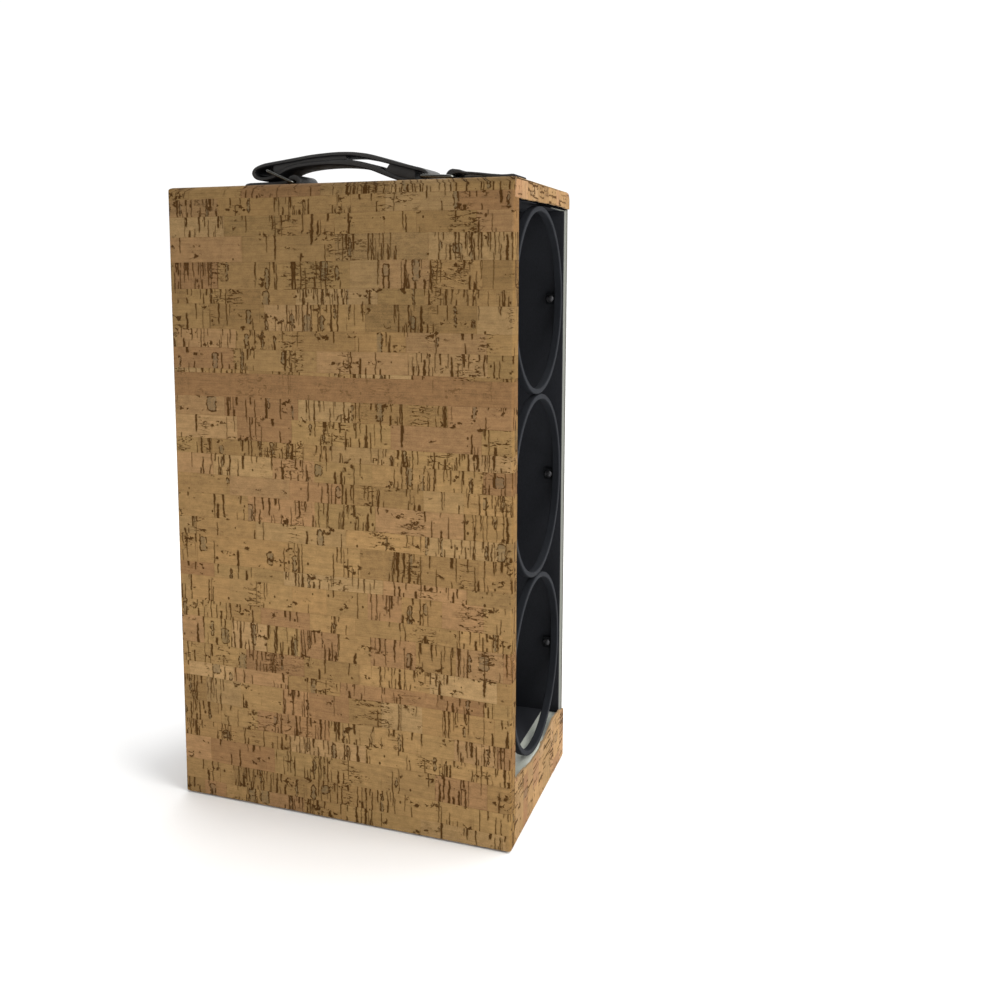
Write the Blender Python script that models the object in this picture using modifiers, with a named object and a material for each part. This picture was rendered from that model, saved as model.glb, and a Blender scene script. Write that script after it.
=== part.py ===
"""Three-bottle carrier.

A tall board box, open at both ends, covered in cork sheet and lined in black.
Bottles lie across it in three bays, one above the other, and each bay has a
flat ring at either end.  A strap handle on the top hangs on two metal loops,
which swing in the eyes of two folded tabs.

Metres, +Z up.  +X is the open end seen in the picture, -Y is the broad front.
Origin: centre of the underside.
"""
import bpy
import bmesh
from math import cos, sin, pi, radians, hypot, atan2
from mathutils import Matrix, Vector

# ---------------------------------------------------------------- dimensions
MM = 0.001
W, D, H = 187.0, 113.0, 330.0        # box: bottle-axis width, depth, height
GAP = 0.3                            # clearance kept between touching pieces
CORK = 1.0                           # cork sheet
WALL = 5.7                           # front and rear boards
LINE = 0.6                           # black lining
R_TOP = 5.0                          # rounding of the two long top edges
FLOOR_Z = 29.0                       # upper face of the floor board
CEIL_Z = 320.8                       # underside of the top board
RAW = 11.2                           # bare floor at each open end

RING_OR, RING_T, RING_L = 48.2, 2.6, 4.0
RING_OUT = 91.8                      # outer end of a ring, |x|
RING_PITCH = 96.8
RING_Z = {"bottom": 77.6, "middle": 77.6 + RING_PITCH, "top": 77.6 + 2 * RING_PITCH}
LUG_DZ = {"bottom": -5.6, "middle": -2.8, "top": 0.0}
LUG_X = 85.4

STRAP_W = 22.0                       # handle strap and tabs, width in Y
STRAP_T, STRAP_LOW = 2.0, 1.2         # strap thickness, and what the lower run adds at its middle
WIRE = 1.0                           # metal loop wire radius
LOOP_L = 17.4                        # loop, bar to bar
LOOP_Y = 12.6                        # loop side rails, |y|
PIVOT_L, PIVOT_R = (-44.0, 334.6), (47.7, 334.6)
LIFT_L, LIFT_R = 23.7, 3.5           # rest angle of each loop above level, degrees

X1 = W / 2                           # outer end planes
XB = X1 - CORK - GAP                 # end of the boards
Y1 = D / 2
YC = Y1 - CORK                       # inner face of the cork
YP = YC - GAP                        # outer face of the boards
YI = YP - WALL                       # inner face of the boards
YL = YI - GAP                        # outer face of the lining
YL2 = YL - LINE                      # inner face of the lining

# ------------------------------------------------------------------- scene
for old in list(bpy.data.objects):
    bpy.data.objects.remove(old, do_unlink=True)

parts = bpy.data.collections.new("bottle_carrier")
bpy.context.scene.collection.children.link(parts)
cutters = bpy.data.collections.new("cutters")
bpy.context.scene.collection.children.link(cutters)


def material(name, rgb, rough, metal=0.0):
    m = bpy.data.materials.new(name)
    m.use_nodes = True
    s = m.node_tree.nodes["Principled BSDF"]
    s.inputs["Base Color"].default_value = (*rgb, 1.0)
    s.inputs["Roughness"].default_value = rough
    s.inputs["Metallic"].default_value = metal
    return m


CORK_M = ("cork", (0.40, 0.24, 0.11), 0.75)
BOARD_M = ("board", (0.42, 0.44, 0.38), 0.8)
LINE_M = ("lining", (0.013, 0.014, 0.017), 0.7)
RING_M = ("ring", (0.035, 0.037, 0.04), 0.45)
STRAP_M = ("strap", (0.035, 0.035, 0.036), 0.5)
METAL_M = ("metal", (0.35, 0.35, 0.36), 0.3, 1.0)
RIVET_M = ("rivet", (0.04, 0.04, 0.045), 0.35, 0.6)


def dress(ob, mat):
    """Give an object its own copy of a finish."""
    ob.data.materials.clear()
    ob.data.materials.append(material(ob.name + "_" + mat[0], *mat[1:]))


def place(name, data, mat=None, matrix=None, coll=None):
    ob = bpy.data.objects.new(name, data)
    (coll or parts).objects.link(ob)
    if matrix is not None:
        ob.matrix_world = matrix
    if mat:
        dress(ob, mat)
    return ob


def as_cutter(ob):
    ob.hide_render = True
    ob.display_type = 'WIRE'
    return ob


def box(name, x, y, z, mat, bevel=0.0, coll=None):
    """A board or strip from its limits along X, Y and Z, in mm."""
    bm = bmesh.new()
    bmesh.ops.create_cube(bm, size=1.0)
    size = Vector((x[1] - x[0], y[1] - y[0], z[1] - z[0])) * MM
    bmesh.ops.scale(bm, vec=size, verts=bm.verts)
    me = bpy.data.meshes.new(name)
    bm.to_mesh(me)
    bm.free()
    mid = Vector(((x[0] + x[1]) / 2, (y[0] + y[1]) / 2, (z[0] + z[1]) / 2)) * MM
    ob = place(name, me, mat, Matrix.Translation(mid), coll)
    if bevel:
        b = ob.modifiers.new("edge", 'BEVEL')
        b.width = bevel * MM
        b.segments = 1
        b.limit_method = 'ANGLE'
    return ob


# local x, y, z -> world y, z, x   and   world x, z, -y
ALONG_X = Matrix(((0, 0, 1, 0), (1, 0, 0, 0), (0, 1, 0, 0), (0, 0, 0, 1)))
ALONG_Y = Matrix(((1, 0, 0, 0), (0, 0, -1, 0), (0, 1, 0, 0), (0, 0, 0, 1)))


def prism(name, outlines, along, a0, a1, mat, origin=(0.0, 0.0)):
    """Closed outlines (the first one outside, the rest holes) drawn in YZ and
    run along X, or drawn in XZ and run along Y, as one welded mesh."""
    cu = bpy.data.curves.new(name, 'CURVE')
    cu.dimensions = '2D'
    cu.fill_mode = 'BOTH'
    cu.extrude = abs(a1 - a0) / 2 * MM
    for pts in outlines:
        sp = cu.splines.new('POLY')
        sp.points.add(len(pts) - 1)
        for p, (u, v) in zip(sp.points, pts):
            p.co = ((u - origin[0]) * MM, (v - origin[1]) * MM, 0.0, 1.0)
        sp.use_cyclic_u = True
    mid = (a0 + a1) / 2 * MM
    if along == 'X':
        mtx = Matrix.Translation((mid, origin[0] * MM, origin[1] * MM)) @ ALONG_X
    else:
        mtx = Matrix.Translation((origin[0] * MM, mid, origin[1] * MM)) @ ALONG_Y
    tmp = bpy.data.objects.new(name + "_outline", cu)
    bpy.context.scene.collection.objects.link(tmp)
    tmp.matrix_world = mtx
    deps = bpy.context.evaluated_depsgraph_get()
    deps.update()
    me = bpy.data.meshes.new_from_object(tmp.evaluated_get(deps))
    bpy.data.objects.remove(tmp, do_unlink=True)
    bm = bmesh.new()
    bm.from_mesh(me)
    bmesh.ops.remove_doubles(bm, verts=bm.verts, dist=1e-6)
    bmesh.ops.recalc_face_normals(bm, faces=bm.faces)
    bm.to_mesh(me)
    bm.free()
    me.name = name
    return place(name, me, mat, mtx)


def arc(cx, cy, r, a0, a1, n):
    """Points on an arc, degrees, both ends included."""
    return [(cx + r * cos(radians(a0 + (a1 - a0) * i / n)),
             cy + r * sin(radians(a0 + (a1 - a0) * i / n))) for i in range(n + 1)]


def smooth_loop(ctrl, per):
    """Closed Catmull-Rom curve through the control points."""
    out, n = [], len(ctrl)
    for i in range(n):
        p0, p1, p2, p3 = (ctrl[(i + k - 1) % n] for k in range(4))
        for j in range(per):
            t = j / per
            out.append(tuple(
                0.5 * (2 * p1[k] + (p2[k] - p0[k]) * t
                       + (2 * p0[k] - 5 * p1[k] + 4 * p2[k] - p3[k]) * t * t
                       + (3 * p1[k] - p0[k] - 3 * p2[k] + p3[k]) * t ** 3)
                for k in (0, 1)))
    return out


def inset(loop, depth):
    """The same closed outline moved inward by the strap's thickness at each point."""
    n = len(loop)
    area = sum(loop[i][0] * loop[(i + 1) % n][1] - loop[(i + 1) % n][0] * loop[i][1]
               for i in range(n))
    side = 1.0 if area > 0 else -1.0
    out = []
    for i in range(n):
        (ax, az), (bx, bz) = loop[i - 1], loop[(i + 1) % n]
        tx, tz = bx - ax, bz - az
        k = side * depth(*loop[i]) / hypot(tx, tz)
        out.append((loop[i][0] - tz * k, loop[i][1] + tx * k))
    return out


def level(loop, x, upper):
    """Height of a closed outline at x, on its upper or its lower run."""
    hits = []
    n = len(loop)
    for i in range(n):
        (ax, az), (bx, bz) = loop[i], loop[(i + 1) % n]
        if (ax - x) * (bx - x) <= 0 and ax != bx:
            hits.append(az + (bz - az) * (x - ax) / (bx - ax))
    return max(hits) if upper else min(hits)


def turned(name, profile, steps, matrix, mat, coll=None):
    """A profile of (radius, height) in mm, top to bottom, turned about local Z."""
    bm = bmesh.new()
    vs = [bm.verts.new((r * MM, 0, h * MM)) for r, h in profile]
    for a, b in zip(vs, vs[1:]):
        bm.edges.new((a, b))
    me = bpy.data.meshes.new(name)
    bm.to_mesh(me)
    bm.free()
    ob = place(name, me, mat, matrix, coll)
    s = ob.modifiers.new("turn", 'SCREW')
    s.axis = 'Z'
    s.steps = s.render_steps = steps
    s.use_merge_vertices = True
    s.merge_threshold = 0.00001
    s.use_smooth_shade = True
    return ob


def cylinder(name, r, p0, p1, segments):
    """A cutter: a plain cylinder between two points, mm."""
    a, b = Vector(p0) * MM, Vector(p1) * MM
    bm = bmesh.new()
    bmesh.ops.create_cone(bm, cap_ends=True, segments=segments,
                          radius1=r * MM, radius2=r * MM, depth=(b - a).length)
    me = bpy.data.meshes.new(name)
    bm.to_mesh(me)
    bm.free()
    mtx = Matrix.Translation((a + b) / 2) @ (b - a).to_track_quat('Z', 'Y').to_matrix().to_4x4()
    return as_cutter(place(name, me, None, mtx, cutters))


def boolean(ob, other, how='DIFFERENCE'):
    m = ob.modifiers.new(how.lower() + "_" + other.name, 'BOOLEAN')
    m.operation = how
    m.solver = 'EXACT'
    m.object = other


# ------------------------------------------------------------------- boards
# Front and rear boards run the full height; their outer top edges are rounded
# to lie under the rolled cork.
def wall_outline(side):
    r = R_TOP - CORK - GAP
    top = H - CORK - GAP
    pts = [(YI, CORK + GAP), (YP, CORK + GAP)]
    pts += arc(YP - r, top - r, r, 0, 90, 5)
    pts += [(YI, top)]
    return [(side * y, z) for y, z in pts]


front_panel = prism("front_panel", [wall_outline(-1)], 'X', -XB, XB, BOARD_M)
rear_panel = prism("rear_panel", [wall_outline(1)], 'X', -XB, XB, BOARD_M)
YB = YI - GAP                         # boards that sit between the two walls
top_panel = box("top_panel", (-XB, XB), (-YB, YB), (CEIL_Z, H - CORK - GAP), BOARD_M)
box("floor_board", (-XB, XB), (-YB, YB), (FLOOR_Z - 5.0, FLOOR_Z), BOARD_M)
box("bottom_board", (-XB, XB), (-YB, YB), (CORK + GAP, CORK + GAP + 5.0), BOARD_M)
RZ = (CORK + 5.0 + 2 * GAP, FLOOR_Z - 5.0 - GAP)
RW = 6.0
box("base_rail_right", (XB - RW, XB), (-YB, YB), RZ, BOARD_M)
box("base_rail_left", (-XB, -XB + RW), (-YB, YB), RZ, BOARD_M)
box("base_rail_front", (-XB + RW + GAP, XB - RW - GAP), (-YB, -YB + RW), RZ, BOARD_M)
box("base_rail_rear", (-XB + RW + GAP, XB - RW - GAP), (YB - RW, YB), RZ, BOARD_M)

# ------------------------------------------------------------------- lining
LZ = (FLOOR_Z + GAP, CEIL_Z - GAP)
lining_front = box("lining_front", (-XB, XB), (-YL, -YL2), LZ, LINE_M)
lining_rear = box("lining_rear", (-XB, XB), (YL2, YL), LZ, LINE_M)
box("lining_top", (-XB, XB), (-YL2 + GAP, YL2 - GAP), (LZ[1] - LINE, LZ[1]), LINE_M)
box("lining_floor", (-X1 + RAW, X1 - RAW), (-YL2 + GAP, YL2 - GAP),
    (LZ[0], LZ[0] + LINE), LINE_M)

# --------------------------------------------------------------------- cork
# One sheet: up the front, over the top and down the rear.
bm = bmesh.new()
run = [(-Y1, CORK + GAP)] + arc(-Y1 + R_TOP, H - R_TOP, R_TOP, 180, 90, 6)
run += arc(Y1 - R_TOP, H - R_TOP, R_TOP, 90, 0, 6) + [(Y1, CORK + GAP)]
vs = [bm.verts.new((-XB * MM, y * MM, z * MM)) for y, z in run]
es = [bm.edges.new(pair) for pair in zip(vs, vs[1:])]
ext = bmesh.ops.extrude_edge_only(bm, edges=es)
new = [g for g in ext["geom"] if isinstance(g, bmesh.types.BMVert)]
bmesh.ops.translate(bm, verts=new, vec=(2 * XB * MM, 0, 0))
bm.normal_update()
if max(bm.faces, key=lambda f: f.calc_center_median().z).normal.z < 0:
    bmesh.ops.reverse_faces(bm, faces=bm.faces)
me = bpy.data.meshes.new("cork_sleeve")
bm.to_mesh(me)
bm.free()
cork_sleeve = place("cork_sleeve", me, CORK_M)
sol = cork_sleeve.modifiers.new("sheet", 'SOLIDIFY')
sol.thickness = CORK * MM
sol.offset = -1.0
sol.use_even_offset = True

box("cork_bottom", (-XB, XB), (-Y1, Y1), (0.0, CORK), CORK_M)

# The sheet turned round the end edge of the front board.
edge = [(-Y1, 0.0), (-YL2, 0.0), (-YL2, H)] + arc(-Y1 + R_TOP, H - R_TOP, R_TOP, 90, 180, 6)
# Strips that cover the end of the top board and of the base.
YS = -YL2 + GAP
top_end = [(YS, CEIL_Z - 0.8), (Y1, CEIL_Z - 0.8)] + arc(Y1 - R_TOP, H - R_TOP, R_TOP, 0, 90, 6) + [(YS, H)]
uneven = [(YS, 33.6), (-36.0, 33.2), (-20.0, 29.9), (-9.0, 28.9), (4.0, 28.8),
          (21.0, 31.0), (33.0, 32.8), (46.0, 32.2), (Y1, 30.2)]
base_end = [(YS, 0.0), (Y1, 0.0)] + list(reversed(uneven))
for side, s in (("right", 1), ("left", -1)):
    a0, a1 = (X1 - CORK, X1) if s > 0 else (-X1, -X1 + CORK)
    prism("cork_edge_" + side, [edge], 'X', a0, a1, CORK_M)
    prism("cork_end_top_" + side, [top_end], 'X', a0, a1, CORK_M)
    prism("cork_end_base_" + side, [base_end], 'X', a0, a1, CORK_M)

# -------------------------------------------------------------------- rings
# A flat ring for each end of each bay.  A lug behind it at the front and at
# the rear takes a rivet into the wall.
R_IN = RING_OR - RING_T
ring_profile = [(RING_OR, RING_L / 2), (RING_OR, -RING_L / 2),
                (R_IN, -RING_L / 2), (R_IN, RING_L / 2), (RING_OR, RING_L / 2)]
LUG_Y = (46.4, RING_OR)
for side, s in (("right", 1), ("left", -1)):
    for tier, zc in RING_Z.items():
        name = "ring_%s_%s" % (side, tier)
        mid = s * (RING_OUT - RING_L / 2)
        mtx = Matrix.Translation(Vector((mid, 0, zc)) * MM) @ Matrix.Rotation(pi / 2, 4, 'Y')
        ring = turned(name, ring_profile, 72, mtx, RING_M)
        zl = zc + LUG_DZ[tier]
        inner = LUG_X - 2.5
        xl = (inner, RING_OUT - RING_L + 0.8) if s > 0 else (-(RING_OUT - RING_L + 0.8), -inner)
        for wall, t in (("front", -1), ("rear", 1)):
            yl = LUG_Y if t > 0 else (-LUG_Y[1], -LUG_Y[0])
            lug = as_cutter(box("lug_%s_%s" % (name, wall), xl, yl, (zl - 3.2, zl + 3.2), None, coll=cutters))
            boolean(ring, lug, 'UNION')
        for wall, t, lining, panel in (("front", -1, lining_front, front_panel),
                                       ("rear", 1, lining_rear, rear_panel)):
            hole = cylinder("hole_%s_%s" % (name, wall), 1.5,
                            (s * LUG_X, t * 44.0, zl), (s * LUG_X, t * 54.0, zl), 12)
            for ob in (ring, lining, panel):
                boolean(ob, hole)
            head = LUG_Y[0] - GAP
            rivet = [(0.0, 1.2), (1.3, 0.95), (2.1, 0.0), (1.15, 0.0),
                     (1.15, -(53.5 - head)), (0.0, -(53.5 - head))]
            rm = Matrix.Translation(Vector((s * LUG_X, t * head, zl)) * MM) @ \
                Matrix.Rotation(t * pi / 2, 4, 'X')
            turned("ring_rivet_%s_%s_%s" % (side, tier, wall), rivet, 12, rm, RIVET_M)

# --------------------------------------------------------------- handle tabs
# Each tab is a strap folded double, with an eye for its loop at the fold.
TOP = H + GAP
EYE_R = 4.05
px, pz = PIVOT_R
tab_r = [(80.9, TOP), (80.9, TOP + 2.4), (80.4, TOP + 3.7), (79.0, TOP + 4.4), (68.0, TOP + 5.2), (57.0, TOP + 6.0), (53.8, TOP + 6.3)]
tab_r += arc(px, pz, EYE_R, 48, 262, 12)
tab_r += [(49.6, TOP)]
eye_r = arc(px, pz, 1.6, 0, 330, 11)
px, pz = PIVOT_L
tab_l = [(-45.9, TOP)] + arc(px, pz, EYE_R, -82, 140, 12)
tab_l += [(-49.2, TOP + 5.1), (-72.0, TOP + 4.9), (-73.6, TOP + 4.3), (-74.2, TOP + 2.8), (-74.2, TOP)]
eye_l = arc(px, pz, 1.6, 0, 330, 11)
half = STRAP_W / 2
tab_right = prism("tab_right", [tab_r, eye_r], 'Y', -half, half, STRAP_M)
tab_left = prism("tab_left", [tab_l, eye_l], 'Y', -half, half, STRAP_M)
for tab, xs in ((tab_right, (61.0, 74.5)), (tab_left, (-57.0, -70.0))):
    for i, x in enumerate(xs):
        nm = "tab_rivet_%s_%s" % (tab.name.split("_")[1], ("inner", "outer")[i])
        hole = cylinder("hole_" + nm, 1.6, (x, 0, H - 6.0), (x, 0, TOP + 9.0), 12)
        for ob in (tab, cork_sleeve, top_panel):
            boolean(ob, hole)
        outline = tab_r if tab is tab_right else tab_l
        seat = max(level(outline, x - 2.8, True), level(outline, x + 2.8, True)) + GAP
        shank = seat - (H - 5.6)
        prof = [(0.0, 0.75), (1.9, 0.55), (2.8, 0.0), (1.3, 0.0), (1.3, -shank), (0.0, -shank)]
        turned(nm, prof, 12, Matrix.Translation(Vector((x, 0, seat)) * MM), RIVET_M)


# --------------------------------------------------------------- metal loops
def wire_loop(name, pivot, lift):
    """A rounded rectangle of wire; its pivot bar lies on local Y."""
    r = 2.0
    a, b = LOOP_Y, LOOP_L
    pts = []
    for cx, cy, s in ((-r, a - r, 90), (-b + r, a - r, 180), (-b + r, -a + r, 270), (-r, -a + r, 360)):
        pts += arc(cx, cy, r, s - 90, s, 4)
    cu = bpy.data.curves.new(name, 'CURVE')
    cu.dimensions = '3D'
    cu.bevel_depth = WIRE * MM
    cu.bevel_resolution = 2
    sp = cu.splines.new('POLY')
    sp.points.add(len(pts) - 1)
    for p, (x, y) in zip(sp.points, pts):
        p.co = (x * MM, y * MM, 0.0, 1.0)
    sp.use_cyclic_u = True
    mtx = Matrix.Translation(Vector((pivot[0], 0, pivot[1])) * MM) @ \
        Matrix.Rotation(radians(lift), 4, 'Y')
    return place(name, cu, METAL_M, mtx)


wire_loop("loop_left", PIVOT_L, LIFT_L)
wire_loop("loop_right", PIVOT_R, LIFT_R)

# -------------------------------------------------------------- handle strap
# One closed band.  It turns round the outer bar of each loop, and layers
# between its two runs fill it at both ends and leave a slot in the middle.
EYE_L = (PIVOT_L[0] - LOOP_L * cos(radians(LIFT_L)), PIVOT_L[1] + LOOP_L * sin(radians(LIFT_L)))
ctrl = [(-62.9, 345.2), (-57.9, 346.0), (-52.9, 346.6), (-43.1, 347.8), (-33.5, 349.0),
        (-24.0, 349.65), (-17.0, 349.85), (-9.8, 349.4), (-5.2, 348.8), (-0.6, 348.0), (4.0, 346.9),
        (8.6, 345.7), (13.1, 344.4), (17.6, 343.2), (22.1, 342.0), (26.6, 340.8), (30.6, 339.7),
        (33.3, 338.2), (34.5, 336.1), (34.1, 334.0), (32.4, 332.5), (29.5, 331.8), (26.0, 331.9),
        (22.0, 332.4), (18.0, 333.1), (14.0, 334.1), (10.0, 335.4), (6.2, 336.8), (2.7, 338.2),
        (-0.9, 339.5), (-4.5, 340.7), (-8.0, 341.7), (-11.6, 342.4), (-17.0, 343.0), (-24.0, 343.3),
        (-33.5, 343.1), (-41.0, 342.4), (-45.5, 341.6), (-49.0, 340.5), (-52.5, 338.8),
        (-56.0, 337.2), (-60.0, 336.2), (-64.0, 336.1), (-67.6, 337.2), (-69.5, 339.3),
        (-69.5, 341.3), (-67.6, 343.5)]
band = smooth_loop(ctrl, 3)


def thick(x, z):
    """Strap thickness at a point of its outline; the lower run is doubled at its middle."""
    if z > 346.5 - 0.26 * (x + 20.0):
        return STRAP_T
    return STRAP_T + STRAP_LOW * max(0.0, min(1.0, (x + 26.0) / 16.0, (13.0 - x) / 8.0))


hollow = inset(band, thick)
prism("handle_strap", [band, hollow], 'Y', -half, half, STRAP_M, EYE_L)


def core(name, x0, x1, n):
    inner = inset(band, lambda x, z: thick(x, z) + GAP)
    xs = [x0 + (x1 - x0) * i / n for i in range(n + 1)]
    pts = [(x, level(inner, x, False)) for x in xs]
    pts += [(x, level(inner, x, True)) for x in reversed(xs)]
    prism(name, [pts], 'Y', -half + 0.4, half - 0.4, STRAP_M, EYE_L)


core("handle_core_left", -56.5, -20.0, 10)
core("handle_core_right", 11.5, 24.9, 5)
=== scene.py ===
"""Bottle carrier: the look.

A board box covered in cork sheet, lined in black, with flat rings at
both open ends and a folding leather handle on two metal loops.  Metres, +Z up,
+X is the open end seen in the picture, -Y is the broad front.
"""
from math import sin, cos, pi, radians, hypot, atan2, sqrt

import bpy
import bmesh
from mathutils import Matrix, Vector


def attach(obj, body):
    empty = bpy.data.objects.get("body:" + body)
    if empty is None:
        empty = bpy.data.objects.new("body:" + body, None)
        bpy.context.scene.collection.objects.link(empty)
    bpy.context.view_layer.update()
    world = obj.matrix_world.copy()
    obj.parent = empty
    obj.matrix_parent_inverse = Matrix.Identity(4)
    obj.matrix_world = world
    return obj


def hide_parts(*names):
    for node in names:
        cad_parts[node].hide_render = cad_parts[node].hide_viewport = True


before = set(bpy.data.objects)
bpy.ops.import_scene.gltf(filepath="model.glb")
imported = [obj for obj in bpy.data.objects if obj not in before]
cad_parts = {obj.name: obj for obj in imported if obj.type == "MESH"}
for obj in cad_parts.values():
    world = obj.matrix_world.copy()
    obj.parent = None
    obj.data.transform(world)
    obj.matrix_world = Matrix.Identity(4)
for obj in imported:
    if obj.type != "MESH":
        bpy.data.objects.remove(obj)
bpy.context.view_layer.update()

MM = 0.001

# The box, in mm, as the CAD model has it.
W, D, H = 187.0, 113.0, 330.0
X1, Y1 = W / 2, D / 2
CORK = 1.0
GAP = 0.3
XB = X1 - CORK - GAP
YP = Y1 - CORK - GAP
YI = YP - 5.7
YL2 = YI - GAP - 0.6
R_TOP, R_EDGE = 5.0, 1.2


# ==================================================================== nodes
class Val:
    """A number in a material's node tree, with arithmetic."""

    def __init__(self, tree, out):
        self.tree, self.out = tree, out

    def math(self, op, *args):
        n = self.tree.nodes.new("ShaderNodeMath")
        n.operation = op
        for i, a in enumerate((self,) + args):
            if isinstance(a, Val):
                self.tree.links.new(a.out, n.inputs[i])
            else:
                n.inputs[i].default_value = a
        return Val(self.tree, n.outputs[0])

    def __add__(self, o): return self.math('ADD', o)
    __radd__ = __add__
    def __mul__(self, o): return self.math('MULTIPLY', o)
    __rmul__ = __mul__
    def __sub__(self, o): return self.math('SUBTRACT', o)
    def __rsub__(self, o): return (self * -1.0) + o
    def __truediv__(self, o): return self.math('DIVIDE', o)
    def floor(self): return self.math('FLOOR')
    def abs(self): return self.math('ABSOLUTE')
    def pow(self, o): return self.math('POWER', o)
    def max(self, o): return self.math('MAXIMUM', o)
    def min(self, o): return self.math('MINIMUM', o)
    def less(self, o): return self.math('LESS_THAN', o)
    def more(self, o): return self.math('GREATER_THAN', o)

    def step(self, a, b):
        """0 below a and 1 above b, eased between; falls where a > b."""
        if isinstance(a, Val) or isinstance(b, Val) or a < b:
            return self._step(a, b)
        return 1.0 - self._step(b, a)

    def _step(self, a, b):
        n = self.tree.nodes.new("ShaderNodeMapRange")
        n.interpolation_type = 'SMOOTHSTEP'
        self.tree.links.new(self.out, n.inputs["Value"])
        for name, x in (("From Min", a), ("From Max", b)):
            if isinstance(x, Val):
                self.tree.links.new(x.out, n.inputs[name])
            else:
                n.inputs[name].default_value = x
        return Val(self.tree, n.outputs["Result"])


class Mat:
    """A material under construction: one Principled shader and its nodes."""

    def __init__(self, name, rough=0.6, metal=0.0, specular=0.5, sheen=0.0, coat=0.0, coat_rough=0.3):
        self.mat = bpy.data.materials.new(name)
        self.mat.use_nodes = True
        self.tree = self.mat.node_tree
        self.shader = self.tree.nodes["Principled BSDF"]
        self.shader.inputs["Roughness"].default_value = rough
        self.shader.inputs["Metallic"].default_value = metal
        self.shader.inputs["Specular IOR Level"].default_value = specular
        self.shader.inputs["Sheen Weight"].default_value = sheen
        self.shader.inputs["Coat Weight"].default_value = coat
        self.shader.inputs["Coat Roughness"].default_value = coat_rough
        self.coord = None

    def node(self, kind, **props):
        n = self.tree.nodes.new(kind)
        for k, v in props.items():
            setattr(n, k, v)
        return n

    def val(self, out):
        return Val(self.tree, out)

    def sheet(self):
        """The (u, v) of a piece's own flat map, in mm."""
        n = self.node("ShaderNodeUVMap", uv_map="sheet")
        s = self.node("ShaderNodeSeparateXYZ")
        self.tree.links.new(n.outputs["UV"], s.inputs[0])
        return self.val(s.outputs[0]) * 1000.0, self.val(s.outputs[1]) * 1000.0

    def place(self):
        """The (x, y, z) of a point on the piece, in mm."""
        n = self.node("ShaderNodeTexCoord")
        s = self.node("ShaderNodeSeparateXYZ")
        self.tree.links.new(n.outputs["Object"], s.inputs[0])
        return tuple(self.val(s.outputs[i]) * 1000.0 for i in range(3))

    def vec(self, *parts):
        n = self.node("ShaderNodeCombineXYZ")
        for i, p in enumerate(parts):
            if isinstance(p, Val):
                self.tree.links.new(p.out, n.inputs[i])
            else:
                n.inputs[i].default_value = p
        return n.outputs[0]

    def noise(self, *parts, detail=2.0, rough=0.5, distort=0.0):
        n = self.node("ShaderNodeTexNoise", noise_dimensions='3D')
        self.tree.links.new(self.vec(*parts), n.inputs["Vector"])
        n.inputs["Scale"].default_value = 1.0
        n.inputs["Detail"].default_value = detail
        n.inputs["Roughness"].default_value = rough
        n.inputs["Distortion"].default_value = distort
        return self.val(n.outputs[0])

    def chance(self, *parts):
        """Three random numbers that depend only on the numbers given."""
        n = self.node("ShaderNodeTexWhiteNoise", noise_dimensions='3D')
        self.tree.links.new(self.vec(*parts), n.inputs["Vector"])
        s = self.node("ShaderNodeSeparateColor")
        self.tree.links.new(n.outputs["Color"], s.inputs[0])
        return tuple(self.val(s.outputs[i]) for i in range(3))

    def cells(self, *parts, feature='F1'):
        """Voronoi: distance, and two random numbers of the nearest cell."""
        n = self.node("ShaderNodeTexVoronoi", voronoi_dimensions='3D', feature=feature)
        self.tree.links.new(self.vec(*parts), n.inputs["Vector"])
        n.inputs["Scale"].default_value = 1.0
        if feature != 'F1':
            return self.val(n.outputs["Distance"])
        s = self.node("ShaderNodeSeparateColor")
        self.tree.links.new(n.outputs["Color"], s.inputs[0])
        return self.val(n.outputs["Distance"]), self.val(s.outputs[0]), self.val(s.outputs[1])

    def ramp(self, fac, stops, mode='LINEAR'):
        n = self.node("ShaderNodeValToRGB")
        n.color_ramp.interpolation = mode
        el = n.color_ramp.elements
        while len(el) < len(stops):
            el.new(0.5)
        for e, (pos, rgb) in zip(el, stops):
            e.position = pos
            e.color = (*rgb, 1.0)
        self.tree.links.new(fac.out, n.inputs["Fac"])
        return n.outputs["Color"]

    def mix(self, fac, a, b, mode='MIX'):
        n = self.node("ShaderNodeMix", data_type='RGBA', blend_type=mode)
        for i, x in ((0, fac), (6, a), (7, b)):
            if isinstance(x, Val):
                x = x.out
            if isinstance(x, (float, int)):
                n.inputs[i].default_value = x
            elif isinstance(x, tuple):
                n.inputs[i].default_value = (*x, 1.0)
            else:
                self.tree.links.new(x, n.inputs[i])
        return n.outputs[2]

    def scale(self, colour, k):
        """A colour made lighter or darker by a number."""
        n = self.node("ShaderNodeVectorMath", operation='SCALE')
        self.tree.links.new(colour, n.inputs[0])
        self.tree.links.new(k.out, n.inputs["Scale"])
        return n.outputs[0]

    def finish(self, colour=None, rough=None, height=None, strength=1.0):
        """Height is in mm."""
        if colour is not None:
            self.tree.links.new(colour, self.shader.inputs["Base Color"])
        if rough is not None:
            self.tree.links.new(rough.out, self.shader.inputs["Roughness"])
        if height is not None:
            b = self.node("ShaderNodeBump")
            b.inputs["Strength"].default_value = strength
            b.inputs["Distance"].default_value = MM
            self.tree.links.new(height.out, b.inputs["Height"])
            self.tree.links.new(b.outputs[0], self.shader.inputs["Normal"])
        return self.mat


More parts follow.
